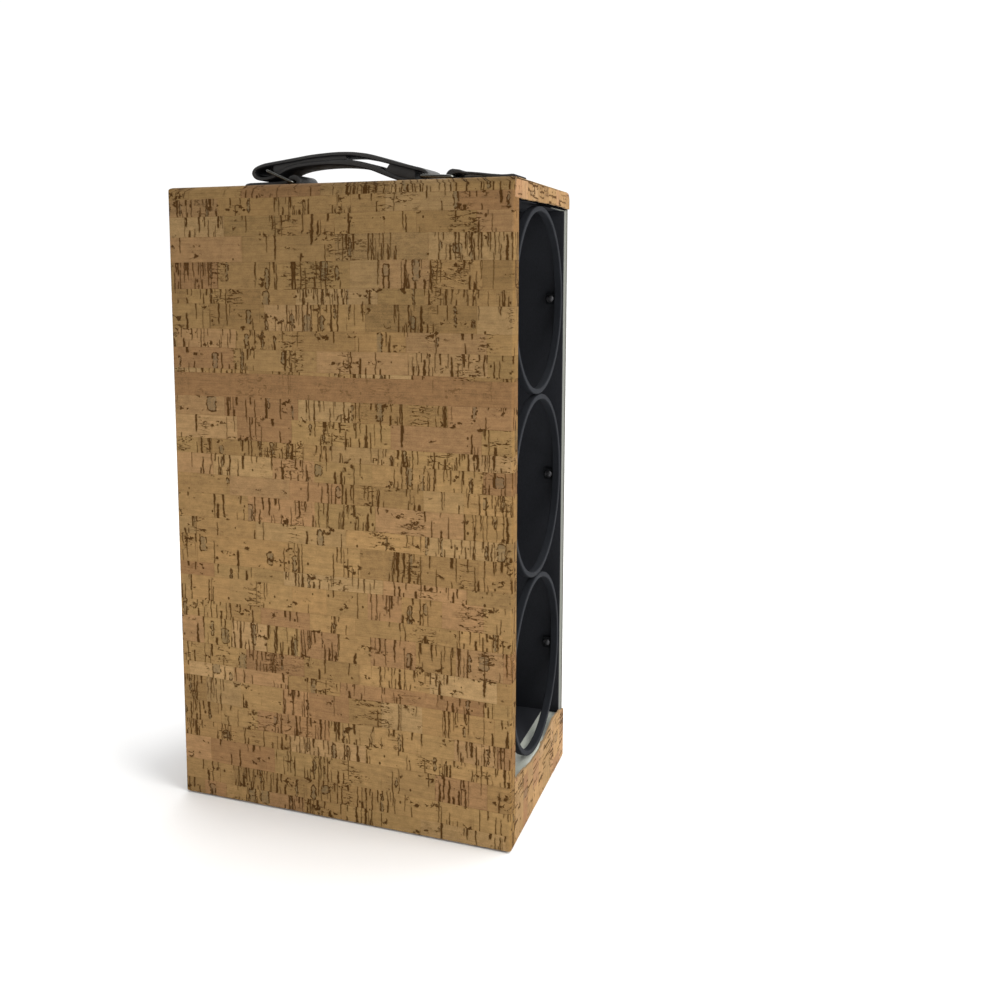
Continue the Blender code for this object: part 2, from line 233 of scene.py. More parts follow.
# ================================================================ materials
def cork(name, seed, plain=None, tint=(1.0, 1.0, 1.0), painted_shade=False, busy=0.0):
    """Thin slabs of cork laid in rows, end to end, and sliced across: each slab
    has its own tone, and dark pores run across it."""
    m = Mat(name, rough=0.72, specular=0.04)
    u, v = m.sheet()
    u0 = u
    u = u + 371.0 * seed

    # rows of slabs, 8 to 14 mm high: the joint under row i is moved by a number of its own
    vr = v / 11.2 + (m.noise(u / 70.0, v / 120.0, seed * 1.3, detail=1.0) - 0.5) * 0.22
    def joint(i):
        h, h2, h3 = m.chance(i, seed, 1.0)
        return i + (h - 0.5) * 0.52, h2, h3
    base = vr.floor()
    low, _, _ = joint(base)
    up, _, _ = joint(base + 1.0)
    row = base - vr.less(low) + vr.more(up)
    low, r1, r2 = joint(row)
    up, r3, _ = joint(row + 1.0)
    fv = (vr - low) / (up - low)
    high = (up - low) * 11.2
    if plain is not None:                        # one calm row at a known height
        sway = (m.noise(u / 60.0, 0.0, seed, detail=1.0) - 0.5) * 1.2
        calm = (v - plain + sway).abs().less(6.2)
        row = row * (1.0 - calm) + calm * 501.0
        fv = fv * (1.0 - calm) + calm * ((v - plain + sway) / 12.4 + 0.5)
    # slabs of a row
    ub = u / (20.0 + 36.0 * r1) + r2 * 57.3
    ub = ub + (m.noise(ub * 1.3, row * 7.7, seed, detail=0.0) - 0.5) * 0.9
    slab = ub.floor()
    fb = ub - slab
    p, q, r = m.chance(slab, row, seed + 2.0)
    if plain is not None:
        p = p * (1.0 - calm) + 0.97 * calm
        q = q * (1.0 - calm) + 0.45 * calm
    tone = m.ramp(p, [(0.0, (0.280, 0.175, 0.070)), (0.2, (0.308, 0.187, 0.076)), (0.38, (0.290, 0.172, 0.069)),
                      (0.55, (0.258, 0.156, 0.062)), (0.7, (0.346, 0.221, 0.099)), (0.86, (0.292, 0.165, 0.074)),
                      (1.0, (0.244, 0.133, 0.057))])
    # grain along the slab, fine granules, slow patches
    gu = u + p * 90.0
    grain = m.noise(gu * 0.055, v * 1.15, row * 2.1, detail=4.0, rough=0.62)
    fine = m.noise(u * 1.5, v * 1.5, seed, detail=3.0, rough=0.6)
    slow = m.noise(u / 30.0, v / 22.0, seed + 4.0, detail=1.0)
    mottle = m.noise(u / 3.6, v / 2.8, row * 1.9 + seed, detail=3.0, rough=0.6)
    shade = (0.87 + 0.20 * q) + (grain - 0.5) * 0.70 + (fine - 0.5) * 0.62 + (slow - 0.5) * 0.26 + (mottle - 0.5) * 0.72 + 0.05
    shade = shade * 0.755
    if painted_shade:                                   # painted shade: made a little darker toward the top
        shade = shade * (1.0 - 0.20 * (v + (slow - 0.5) * 90.0).step(150.0, 300.0))
    # growth rings, faint arcs that cross a slab
    rings = m.noise(gu * 0.09, v * 0.28, row * 5.0 + slab, detail=1.0) * 16.0
    rings = (rings - rings.floor() - 0.5).abs()
    shade = shade - rings.step(0.14, 0.0) * r.step(0.35, 0.9) * 0.13
    tone = m.scale(tone, shade)

    crowd = (m.noise(u / 17.0, row * 2.37, seed + 9.0, detail=1.0) + busy).step(0.33, 0.62)
    crowd = crowd * (0.28 + 1.10 * r.step(0.15, 0.75))       # some slabs are much calmer than others
    if plain is not None:
        crowd = crowd * (1.0 - 0.93 * calm)

    def pores(width, share, thin, thick, key, soft=0.13, least=0.3):
        """Dark lines down a slab, each in a column of its own."""
        uc = u / width + r3 * 31.7
        col = uc.floor()
        fc = uc - col
        a, b, c = m.chance(col, row, seed + key)
        d, e, f = m.chance(col, row, seed + key + 0.5)
        sway = (m.noise(v * 0.30, col * 3.1, row * 1.7 + key, detail=1.0) - 0.5) * (1.5 / width)
        off = (fc - 0.5 - (b - 0.5) * 0.45 + sway).abs() * width
        top = e.more(0.5)
        along = fv * (1.0 - top) + (1.0 - fv) * top
        half = (thin + (thick - thin) * c * c * c) * (0.1 + 1.8 * m.noise(v * 0.62, col * 5.3, row + key, detail=2.0))
        half = half * (1.3 - 0.6 * along)
        line = 1.0 - (off - half).step(-soft, soft)
        line = line + (1.0 - (off - half).step(0.0, 0.75)) * 0.26 * (1.0 - line)
        reach = least + 0.85 * d * (0.4 + 0.6 * d)
        run = 1.0 - (along - reach).step(-0.10, 0.02)
        on = a.less(crowd * share)
        return line * run * on

    dark = pores(2.8, 0.70, 0.19, 0.60, 11.0)
    dark = dark.max(pores(2.0, 0.62, 0.12, 0.36, 23.0, soft=0.15, least=0.2) * 0.9)
    dark = dark.max(pores(4.7, 0.26, 0.26, 0.62, 37.0, least=0.3))

    # wider pores with a soft grey-brown inside and a ragged dark rim
    uc = u / 8.0 + r1 * 13.9
    col = uc.floor()
    a, b, c = m.chance(col, row, seed + 51.0)
    d, e, f = m.chance(col, row, seed + 52.0)
    rag = (m.noise(u * 0.42, v * 0.42, seed + 5.0, detail=3.0, rough=0.6) - 0.5) * 4.4
    dx = (uc - col - 0.5 - (b - 0.5) * 0.4).abs() * 8.0 - (0.45 + 2.3 * c * c * c)
    dy = (fv - 0.5 - (d - 0.5) * 0.5).abs() * high - (2.0 + 3.6 * e)
    dx, dy = dx + 1.3, dy + 1.3
    rim = (dx.max(0.0) * dx.max(0.0) + dy.max(0.0) * dy.max(0.0)).pow(0.5) - 1.3 + rag * 0.7
    on = a.less(0.05 + 0.27 * crowd)
    if plain is not None:
        on = on * (1.0 - calm)
    hollow = rim.step(0.25, -0.25) * on
    outline = rim.abs().step(0.62, 0.12) * on * m.noise(u * 0.45, v * 0.45, seed + 8.0, detail=1.0).step(0.36, 0.50)
    dark = dark.max(outline)

    # specks
    dist, ca, cb = m.cells(u / 2.8, v / 3.9, seed * 2.0)
    speck = (dist - (0.06 + 0.19 * ca * ca)).step(0.05, -0.05) * cb.less(0.09 + 0.20 * crowd)
    dark = dark.max(speck * 0.95)

    # knotty places, and cracks that run along a slab
    knot = m.noise(u / 12.0, v / 7.0, seed + 31.0, detail=2.0).step(0.59, 0.65)
    speckle = m.noise(u * 0.36, v * 0.42, seed + 6.0, detail=3.0, rough=0.60).step(0.515, 0.555)
    dark = dark.max(knot * speckle)
    wave = m.noise(u / 15.0, v / 3.4, row * 9.1 + seed, detail=3.0, rough=0.6)
    crack = (wave - 0.5).abs().step(0.034, 0.010) * m.noise(u / 24.0, row * 4.1, seed + 12.0, detail=1.0).step(0.555, 0.64)
    crack = crack * m.noise(u * 0.7, v * 0.9, seed + 13.0, detail=2.0).step(0.38, 0.5)
    dark = dark.max(crack)
    if plain is not None:
        dark = dark * (1.0 - 0.6 * calm)

    # joints between slabs
    seam = ((fb - 0.5).abs() * 2.0).step(0.965, 1.0).max(((fv - 0.5).abs() * 2.0).step(0.93, 1.0))
    seam = seam * (0.25 + 0.75 * m.noise(u / 9.0, v / 9.0, seed + 15.0, detail=1.0).step(0.4, 0.6))

    hollow_c = m.mix(0.62, tone, (0.088, 0.069, 0.040))
    murk = m.noise(u * 0.5, v * 0.5, seed + 44.0, detail=3.0, rough=0.6).step(0.40, 0.62)
    colour = m.mix(hollow * (0.45 + 0.5 * murk), tone, hollow_c)
    colour = m.mix(seam * 0.34, colour, (0.105, 0.056, 0.021))
    depth = m.ramp(fine, [(0.3, (0.030, 0.0122, 0.0020)), (0.7, (0.054, 0.0228, 0.0042))])
    colour = m.mix((dark * 0.95).min(1.0), colour, depth)
    if painted_shade:                                   # painted shade: the turned-in edge is made a little darker and warmer
        turned = u0.abs().step(X1 - R_EDGE, X1 + R_EDGE)
        colour = m.scale(colour, 1.0 - 0.22 * turned)
        colour = m.mix(turned, colour, m.mix(1.0, colour, (1.06, 0.99, 0.80), mode='MULTIPLY'))
    if tint != (1.0, 1.0, 1.0):
        colour = m.mix(1.0, colour, tint, mode='MULTIPLY')
    rough = 0.66 + (fine - 0.5) * 0.25 + dark * 0.15
    height = (grain - 0.5) * 0.05 + (fine - 0.5) * 0.06 - dark * 0.16 - hollow * 0.05 - seam * 0.05
    return m.finish(colour, rough, height, strength=0.8)


def board(name, seed=0.0, base=(0.30, 0.302, 0.28)):
    """Bare grey fibreboard: matt, fibrous, a little mottled."""
    m = Mat(name, rough=0.9, specular=0.04)
    x, y, z = m.place()
    s = x + y + z
    fibre = m.noise(x * 0.6 + seed, y * 2.2, z * 2.2, detail=4.0, rough=0.65)
    mottle = m.noise(x / 9.0, y / 9.0, z / 9.0 + seed, detail=2.0)
    dist, a, b = m.cells(x * 0.8, y * 0.8, z * 0.8)
    fleck = dist.step(0.22, 0.10) * a.less(0.12)
    tone = m.ramp(fibre, [(0.25, tuple(c * 0.86 for c in base)), (0.75, tuple(c * 1.1 for c in base))])
    tone = m.mix(mottle.step(0.35, 0.7) * 0.35, tone, (base[0] * 0.92, base[1] * 0.97, base[2] * 0.88))
    tone = m.mix(fleck * 0.35, tone, (0.16, 0.15, 0.12))
    return m.finish(tone, 0.82 + (fibre - 0.5) * 0.2, (fibre - 0.5) * 0.12, strength=0.7)


def lining(name, k=1.0, specular=0.16):
    """Thin black cloth-faced paper, with a fine pressed grain."""
    m = Mat(name, rough=0.75, specular=specular)
    x, y, z = m.place()
    weave = m.noise(x * 3.2, y * 3.2, z * 1.1, detail=2.0)
    slow = m.noise(x / 40.0, y / 40.0, z / 60.0, detail=2.0)
    tone = m.ramp(weave * 0.6 + slow * 0.4, [(0.3, (0.0125 * k, 0.0132 * k, 0.0158 * k)), (0.7, (0.0190 * k, 0.0205 * k, 0.0250 * k))])
    return m.finish(tone, 0.66 + (slow - 0.5) * 0.25, (weave - 0.5) * 0.05, strength=0.6)


def plastic(name, base, rough=0.42):
    """Moulded dark plastic with a light satin texture."""
    m = Mat(name, rough=rough, specular=0.06)
    x, y, z = m.place()
    fine = m.noise(x * 2.6, y * 2.6, z * 2.6, detail=3.0)
    slow = m.noise(x / 14.0, y / 14.0, z / 14.0, detail=2.0)
    tone = m.ramp(slow, [(0.3, tuple(c * 0.86 for c in base)), (0.7, tuple(c * 1.14 for c in base))])
    return m.finish(tone, rough + (slow - 0.5) * 0.2 + (fine - 0.5) * 0.06, (fine - 0.5) * 0.03, strength=0.5)


def leather(name, base=(0.030, 0.030, 0.031), rough=0.52):
    """Black leather: pebbled grain with fine creases."""
    m = Mat(name, rough=rough, specular=0.24, coat=0.04, coat_rough=0.35)
    x, y, z = m.place()
    dist, a, b = m.cells(x * 1.25, y * 1.25, z * 1.25)
    edge = m.cells(x * 1.25, y * 1.25, z * 1.25, feature='DISTANCE_TO_EDGE')
    fine = m.noise(x * 4.0, y * 4.0, z * 4.0, detail=3.0)
    slow = m.noise(x / 12.0, y / 12.0, z / 12.0, detail=2.0)
    tone = m.ramp(slow * 0.6 + fine * 0.4, [(0.3, tuple(c * 0.78 for c in base)), (0.7, tuple(c * 1.25 for c in base))])
    height = edge.step(0.0, 0.20) * 0.10 + (fine - 0.5) * 0.035
    return m.finish(tone, rough + (slow - 0.5) * 0.22 + (a - 0.5) * 0.08, height, strength=0.7)


def leather_edge(name):
    """The cut edge of the strap: stained dark, with the fibres of the layers showing."""
    m = Mat(name, rough=0.65, specular=0.22)
    x, y, z = m.place()
    fibre = m.noise(x * 0.7, y * 3.0, z * 4.5, detail=3.0, rough=0.6)
    slow = m.noise(x / 10.0, y / 10.0, z / 10.0, detail=2.0)
    tone = m.ramp(fibre * 0.6 + slow * 0.4, [(0.3, (0.033, 0.0335, 0.0340)), (0.7, (0.054, 0.0545, 0.0550))])
    return m.finish(tone, 0.58 + (fibre - 0.5) * 0.3, (fibre - 0.5) * 0.08, strength=0.7)


def metal(name, base, rough, wear=0.12):
    m = Mat(name, rough=rough, metal=1.0)
    x, y, z = m.place()
    slow = m.noise(x / 5.0, y / 5.0, z / 5.0, detail=3.0)
    fine = m.noise(x * 2.5, y * 6.0, z * 2.5, detail=3.0)
    tone = m.ramp(slow, [(0.3, tuple(c * (1 - wear) for c in base)), (0.7, tuple(min(1.0, c * (1 + wear)) for c in base))])
    return m.finish(tone, rough + (slow - 0.5) * 0.22 + (fine - 0.5) * 0.12, (fine - 0.5) * 0.012, strength=0.5)


CORK_FRONT = cork("cork_front", 1.0, plain=228.0, painted_shade=True)
CORK_REAR = cork("cork_rear", 6.0, tint=(1.1, 1.1, 1.1))
CORK_TOP = cork("cork_top", 3.0, tint=(1.1, 1.1, 1.1))
# painted light: the ends' copy of the cork is made lighter than the front's
CORK_END = cork("cork_end", 8.0, tint=(1.21, 1.20, 1.30), busy=-0.03)
CORK_BASE = cork("cork_base", 11.0)
# painted shade: the sheets' cut edges are a much darker brown than the cork itself
CORK_CUT = board("cork_cut_edge", 5.0, base=(0.130, 0.082, 0.040))
PALE_CUT = board("cork_cut_edge_pale", 7.0, base=(0.135, 0.130, 0.112))
TORN = board("cork_torn_edge", 9.0, base=(0.30, 0.200, 0.110))
BOARD = board("raw_board", base=(0.165, 0.167, 0.152))
# the floor board is paler than the other board: partly its own pale grey-green, partly painted light for the shaded
# floor inside the ends
FLOOR_BOARD = board("floor_raw_board", 3.0, base=(0.46, 0.475, 0.43))
LINING = lining("black_lining", 1.12)
RING = plastic("ring_plastic", (0.0150, 0.0165, 0.0198), rough=0.74)
# painted shadow: a near-black, unshiny copy of the lining
SHADOW = lining("painted_shadow_black", 0.12, 0.0)
# painted shade: a darker, duller copy of the lining for the strap's downturned faces and cut ends
STRAP_PAINTED_SHADE = lining("strap_painted_shade", 0.85, 0.04)
LUG = plastic("ring_lug_black", (0.008, 0.009, 0.010), rough=0.7)
LEATHER = leather("strap_leather", base=(0.0250, 0.0253, 0.0260), rough=0.46)
EDGE = leather_edge("strap_cut_edge")
NICKEL = metal("loop_dark_nickel", (0.125, 0.125, 0.115), 0.24)
RIVET = metal("rivet_dark", (0.055, 0.055, 0.058), 0.50)


# =================================================================== meshes
def piece(name, bm, mats, body="case", smooth=True, flat_angle=35.0):
    """Make an object of a bmesh in metres and let it ride on a body."""
    bmesh.ops.recalc_face_normals(bm, faces=bm.faces)
    me = bpy.data.meshes.new(name)
    bm.to_mesh(me)
    bm.free()
    for mt in mats:
        me.materials.append(mt)
    ob = bpy.data.objects.new(name, me)
    bpy.context.scene.collection.objects.link(ob)
    if smooth:
        for f in me.polygons:
            f.use_smooth = True
        me.set_sharp_from_angle(angle=radians(flat_angle))
    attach(ob, body)
    return ob


def evaluated(ob):
    """The mesh of an object with its modifiers applied."""
    deps = bpy.context.evaluated_depsgraph_get()
    deps.update()
    me = bpy.data.meshes.new_from_object(ob.evaluated_get(deps))
    bpy.data.objects.remove(ob, do_unlink=True)
    bm = bmesh.new()
    bm.from_mesh(me)
    bpy.data.meshes.remove(me)
    return bm


def box_bm(x, y, z):
    bm = bmesh.new()
    bmesh.ops.create_cube(bm, size=1.0)
    bmesh.ops.scale(bm, vec=Vector((x[1] - x[0], y[1] - y[0], z[1] - z[0])) * MM, verts=bm.verts)
    bmesh.ops.translate(bm, vec=Vector(((x[0] + x[1]) / 2, (y[0] + y[1]) / 2, (z[0] + z[1]) / 2)) * MM, verts=bm.verts)
    return bm


def swept(rings, closed=True):
    """Join equal rings of points, one after the other, into a tube (mm)."""
    bm = bmesh.new()
    vs = [[bm.verts.new(Vector(p) * MM) for p in ring] for ring in rings]
    n, k = len(rings), len(rings[0])
    for i in range(n if closed else n - 1):
        a, b = vs[i], vs[(i + 1) % n]
        for j in range(k):
            bm.faces.new((a[j], a[(j + 1) % k], b[(j + 1) % k], b[j]))
    if not closed:
        bm.faces.new(vs[0])
        bm.faces.new(list(reversed(vs[-1])))
    return bm


def arc(cx, cy, r, a0, a1, n):
    return [(cx + r * cos(radians(a0 + (a1 - a0) * i / n)),
             cy + r * sin(radians(a0 + (a1 - a0) * i / n))) for i in range(n + 1)]


def smooth_loop(ctrl, per):
    """Closed Catmull-Rom curve through the control points."""
    out, n = [], len(ctrl)
    for i in range(n):
        p0, p1, p2, p3 = (ctrl[(i + k - 1) % n] for k in range(4))
        for j in range(per):
            t = j / per
            out.append(tuple(
                0.5 * (2 * p1[k] + (p2[k] - p0[k]) * t
                       + (2 * p0[k] - 5 * p1[k] + 4 * p2[k] - p3[k]) * t * t
                       + (3 * p1[k] - p0[k] - 3 * p2[k] + p3[k]) * t ** 3)
                for k in (0, 1)))
    return out


def inset(loop, depth):
    n = len(loop)
    area = sum(loop[i][0] * loop[(i + 1) % n][1] - loop[(i + 1) % n][0] * loop[i][1] for i in range(n))
    side = 1.0 if area > 0 else -1.0
    out = []
    for i in range(n):
        (ax, az), (bx, bz) = loop[i - 1], loop[(i + 1) % n]
        tx, tz = bx - ax, bz - az
        k = side * depth(*loop[i]) / hypot(tx, tz)
        out.append((loop[i][0] - tz * k, loop[i][1] + tx * k))
    return out


def level(loop, x, upper):
    hits, n = [], len(loop)
    for i in range(n):
        (ax, az), (bx, bz) = loop[i], loop[(i + 1) % n]
        if (ax - x) * (bx - x) <= 0 and ax != bx:
            hits.append(az + (bz - az) * (x - ax) / (bx - ax))
    return max(hits) if upper else min(hits)


# ---------------------------------------------------------------- the cork
# The covered box as one bevelled solid, cut afterwards into its sheets.
def bevelled_box():
    bm = box_bm((-X1, X1), (-Y1, Y1), (0.0, H))
    me = bpy.data.meshes.new("shell")
    layer = bm.edges.layers.float.new("bevel_weight_edge")
    for e in bm.edges:
        a, b = (v.co / MM for v in e.verts)
        same = [abs(a[i] - b[i]) < 1e-3 for i in range(3)]
        w = 0.5
        if same[0] and same[1]:                       # upright
            w = R_EDGE if a.y < 0 else 0.5
        elif same[1] and same[2]:                     # along X
            w = R_TOP if a.z > 1 else 0.6
        elif same[0] and same[2]:                     # along Y
            w = 1.1 if a.z > 1 else 0.6
        e[layer] = w / R_TOP
    bm.to_mesh(me)
    bm.free()
    ob = bpy.data.objects.new("shell", me)
    bpy.context.scene.collection.objects.link(ob)
    b = ob.modifiers.new("b", 'BEVEL')
    b.limit_method = 'WEIGHT'
    b.width = R_TOP * MM
    b.segments = 6
    b.use_clamp_overlap = False
    return evaluated(ob)


def round_u(p):
    """Distance round the box along the sheet at one height, mm, from x = 0."""
    x, y, z = p
    side = 1.0 if x >= 0 else -1.0
    ax = abs(x)
    c = X1 - R_EDGE
    if y > -Y1 + R_EDGE:
        u = c + R_EDGE * pi / 2 + (y + Y1 - R_EDGE)
    elif ax > c:
        a = atan2(ax - c, -(y + Y1 - R_EDGE))
        u = c + R_EDGE * a
    else:
        u = ax
    return side * u


def rise_v(p):
    """Height along the sheet, mm, carried on over the rounded top."""
    x, y, z = p
    c = H - R_TOP
    ay = abs(y)
    d = Y1 - R_TOP
    if z <= c:
        return z
    if ay > d and z < H + 1:
        a = atan2(z - c, ay - d)
        return c + R_TOP * a
    return c + R_TOP * pi / 2 + (d - ay)


def keep_part(bm, test):
    gone = [f for f in bm.faces if not test(f.calc_center_median() / MM, f.normal)]
    bmesh.ops.delete(bm, geom=gone, context='FACES')


def cut(bm, at, normal):
    geom = bm.verts[:] + bm.edges[:] + bm.faces[:]
    bmesh.ops.bisect_plane(bm, geom=geom, plane_co=Vector(at) * MM, plane_no=normal)


def thicken(bm, thickness, back):
    """Give an open sheet a closed body, inward; its back and cut edges get their own material."""
    bm.normal_update()
    bm.verts.ensure_lookup_table()
    inner = {}
    for v in bm.verts:
        kinds = []
        for f in v.link_faces:
            if not any(f.normal.dot(k) > 0.9995 for k in kinds):
                kinds.append(f.normal.copy())
        n = sum(kinds, Vector()).normalized()
        reach = min(1.6, 1.0 / max(0.4, min(n.dot(k) for k in kinds)))
        co = v.co - n * (thickness * reach * MM)
        for i in (0, 1):                              # at a rounded corner too it stays inside the sheet
            if abs(co[i]) > abs(v.co[i]):
                co[i] = v.co[i]
        if v.co.z > H / 2 * MM:
            co.z = min(co.z, v.co.z)
        inner[v] = co
    new = {v: bm.verts.new(co) for v, co in inner.items()}
    rim = [e for e in bm.edges if len(e.link_faces) == 1]
    for f in list(bm.faces):
        g = bm.faces.new([new[v] for v in reversed(f.verts)])
        g.material_index = back
    for e in rim:
        l = e.link_loops[0]
        a, b = l.vert, l.link_loop_next.vert
        g = bm.faces.new((b, a, new[a], new[b]))
        g.material_index = back
    return bm


def cork_sheet(name, bm, mats, fu, fvv, replaces=()):
    thicken(bm, CORK, 1)
    layer = bm.loops.layers.uv.new("sheet")
    for f in bm.faces:
        for l in f.loops:
            p = tuple(l.vert.co / MM)
            l[layer].uv = (fu(p) * MM, fvv(p) * MM)
    ob = piece(name, bm, mats, flat_angle=40.0)
    if replaces:
        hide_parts(*replaces)
    return ob


shell = bevelled_box()
Y_RET = -YL2                                          # how far the sheet turns in on an end
cut(shell, (0, Y_RET, 0), (0, 1, 0))
cut(shell, (0, -(Y1 - R_TOP), 0), (0, 1, 0))
cut(shell, (0, Y1 - R_TOP, 0), (0, 1, 0))

front = shell.copy()
cut(front, (0, 0, 320.4), (0, 0, 1))
keep_part(front, lambda c, n: c.z > 0.7 and ((c.y < -(Y1 - R_TOP) and abs(n.x) < 0.98) or
          (abs(c.x) > X1 - 1.2 and c.y < Y_RET and c.z < 320.4 and abs(n.x) >= 0.98)))
cork_sheet("cork_wrap_front", front, [CORK_FRONT, CORK_CUT], round_u, rise_v,
           ("cork_edge_right", "cork_edge_left"))
top = shell.copy()
keep_part(top, lambda c, n: c.z > H - 1.3 and abs(c.y) < Y1 - R_TOP and not
          (abs(c.x) > X1 - 1.2 and (c.y < Y_RET or n.z < 0.5)))
cork_sheet("cork_wrap_top", top, [CORK_TOP, CORK_CUT], lambda p: p[0], lambda p: p[1])
rear = shell.copy()
keep_part(rear, lambda c, n: c.y > Y1 - R_TOP and abs(c.x) < X1 - 0.7 and c.z > 0.7)
for vert in rear.verts:                               # the rear sheet stops with the board's end
    vert.co.x = max(-92.4 * MM, min(92.4 * MM, vert.co.x))
cork_sheet("cork_wrap_rear", rear, [CORK_REAR, PALE_CUT], lambda p: -p[0], rise_v, ("cork_sleeve",))
shell.free()

# The strips glued on the ends of the top board and of the base.
BASE_EDGE = [(-49.0, 34.2), (-46.6, 34.7), (-42.0, 34.0), (-36.0, 33.4), (-28.0, 31.4), (-20.0, 29.9),
             (-14.0, 29.0), (-9.0, 28.9), (-3.0, 28.4), (4.0, 28.8), (12.0, 29.9), (21.0, 31.4),
             (27.0, 33.2), (33.0, 33.6), (40.0, 32.6), (46.0, 32.0), (52.0, 30.0), (Y1, 29.2)]
TOP_EDGE = [(-48.6, 320.4), (-44.0, 320.5), (-38.0, 320.3), (-30.0, 320.6), (-24.0, 320.5), (-16.0, 320.9),
            (-8.0, 320.8), (0.0, 321.0), (10.0, 321.3), (20.0, 321.2), (30.0, 321.4), (40.0, 321.2),
            (48.0, 320.9), (Y1, 320.8)]


def ragged(line, seed, size):
    """A torn edge: the line with small irregular steps added."""
    out = []
    for i, ((y0, z0), (y1, z1)) in enumerate(zip(line, line[1:])):
        n = max(2, int(abs(y1 - y0) / 1.2))
        for j in range(n):
            t = j / n
            k = sin(37.1 * (i * 7 + j) + seed * 11.3) * 43758.5453
            k -= int(k)
            out.append((y0 + (y1 - y0) * t, z0 + (z1 - z0) * t + (k - 0.5) * size if (i or j) else z0))
    out.append(line[-1])
    return out


def end_strip(name, s, outline, mat, seat, curl=None, node=None):
    """A flat strip on an end face, drawn in YZ; curl lifts its free edge off the face."""
    bm = bmesh.new()
    face = bm.faces.new([bm.verts.new(Vector((s * X1, y, z)) * MM) for y, z in outline])
    bm.normal_update()
    if face.normal.x * s < 0:
        bmesh.ops.reverse_faces(bm, faces=bm.faces[:])
    # rows of vertices across, so that the strip can lift a little
    zs = sorted({round(z, 1) for z in seat})
    for z in zs:
        cut(bm, (0, 0, z), (0, 0, 1))
    for k in range(-46, 56, 6):
        cut(bm, (0, float(k), 0), (0, 1, 0))
    bmesh.ops.triangulate(bm, faces=[f for f in bm.faces if len(f.verts) > 4])
    if curl:
        for vert in bm.verts:
            y, z = vert.co.y / MM, vert.co.z / MM
            vert.co.x += s * curl(y, z) * MM
    thicken(bm, CORK, 1)
    layer = bm.loops.layers.uv.new("sheet")
    for f in bm.faces:
        for l in f.loops:
            p = l.vert.co
            l[layer].uv = (p.z, s * p.y)            # its rows stand on end
    ob = piece(name, bm, [mat, TORN], flat_angle=50.0)
    if node:
        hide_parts(node)
    return ob


for side, s in (("right", 1), ("left", -1)):
    y0 = -YL2 + 0.02
    lower = ragged(BASE_EDGE, 2.0 + s, 0.3)
    lower = [(max(y, y0), z) for y, z in lower if y >= y0 - 1.0]
    outline = [(y0, 0.6), (Y1 - 0.5, 0.6)] + [(min(y, Y1 - 0.5), z) for y, z in reversed(lower)]
    clean = [outline[0]]
    for pt in outline[1:]:
        if hypot(pt[0] - clean[-1][0], pt[1] - clean[-1][1]) > 0.2:
            clean.append(pt)
    end_strip("cork_base_strip_" + side, s, clean, CORK_END, (10.0, 20.0, 26.0),
              curl=lambda y, z: 0.0, node="cork_end_base_" + side)
    upper = ragged(TOP_EDGE, 5.0 + s, 0.18)
    edge = [(min(y, Y1 - 0.5), z) for y, z in upper if y >= -48.0]
    edge = [(-(Y1 - R_EDGE), 320.4), (-52.0, 320.4), (-48.6, 320.4)] + edge
    outline = (edge + arc(Y1 - R_TOP, H - R_TOP, R_TOP - 0.5, 0, 90, 6)
               + arc(-(Y1 - R_TOP), H - R_TOP, R_TOP - 1.2, 90, 180, 6))
    clean = [outline[0]]
    for pt in outline[1:]:
        if hypot(pt[0] - clean[-1][0], pt[1] - clean[-1][1]) > 0.2:
            clean.append(pt)
    end_strip("cork_top_strip_" + side, s, clean, CORK_END, (323.0, 326.0),
              curl=lambda y, z: 0.0, node="cork_end_top_" + side)

# the torn paper edge of the top board, a pale line under the strip
for side, s in (("right", 1), ("left", -1)):
    bm = bmesh.new()
    line = [(20.0, 0.06), (26.0, 0.18), (34.0, 0.30), (42.0, 0.34), (48.2, 0.26)]
    rings = [[(s * 91.2, y, 319.75), (s * 92.35, y, 319.75), (s * 92.35, y, 319.75 - h), (s * 91.2, y, 319.75 - h)]
             for y, h in line]
    ob = piece("paper_edge_" + side, swept(rings, closed=False), [BOARD], flat_angle=30.0)
    # a thin black strip above the pale line: painted shadow under the top strip's edge
    line = [(-48.2, 319.85), (-20.0, 319.95), (0.0, 319.85), (16.0, 319.75), (48.4, 319.75), (49.3, 319.9), (54.0, 320.2)]
    rings = [[(s * 91.0, y, 321.6), (s * 92.45, y, 321.6), (s * 92.45, y, z), (s * 91.0, y, z)] for y, z in line]
    ob = piece("painted_shadow_slit_" + side, swept(rings, closed=False), [SHADOW], flat_angle=30.0)

# --------------------------------------------------------------- the rings
RING_OR, RING_T, RING_L, RING_OUT = 48.2, 2.6, 4.0, 91.8
RING_Z = {"bottom": 77.6, "middle": 174.4, "top": 271.2}
LUG_DZ = {"bottom": -5.6, "middle": -2.8, "top": 0.0}
LUG_X = 85.4


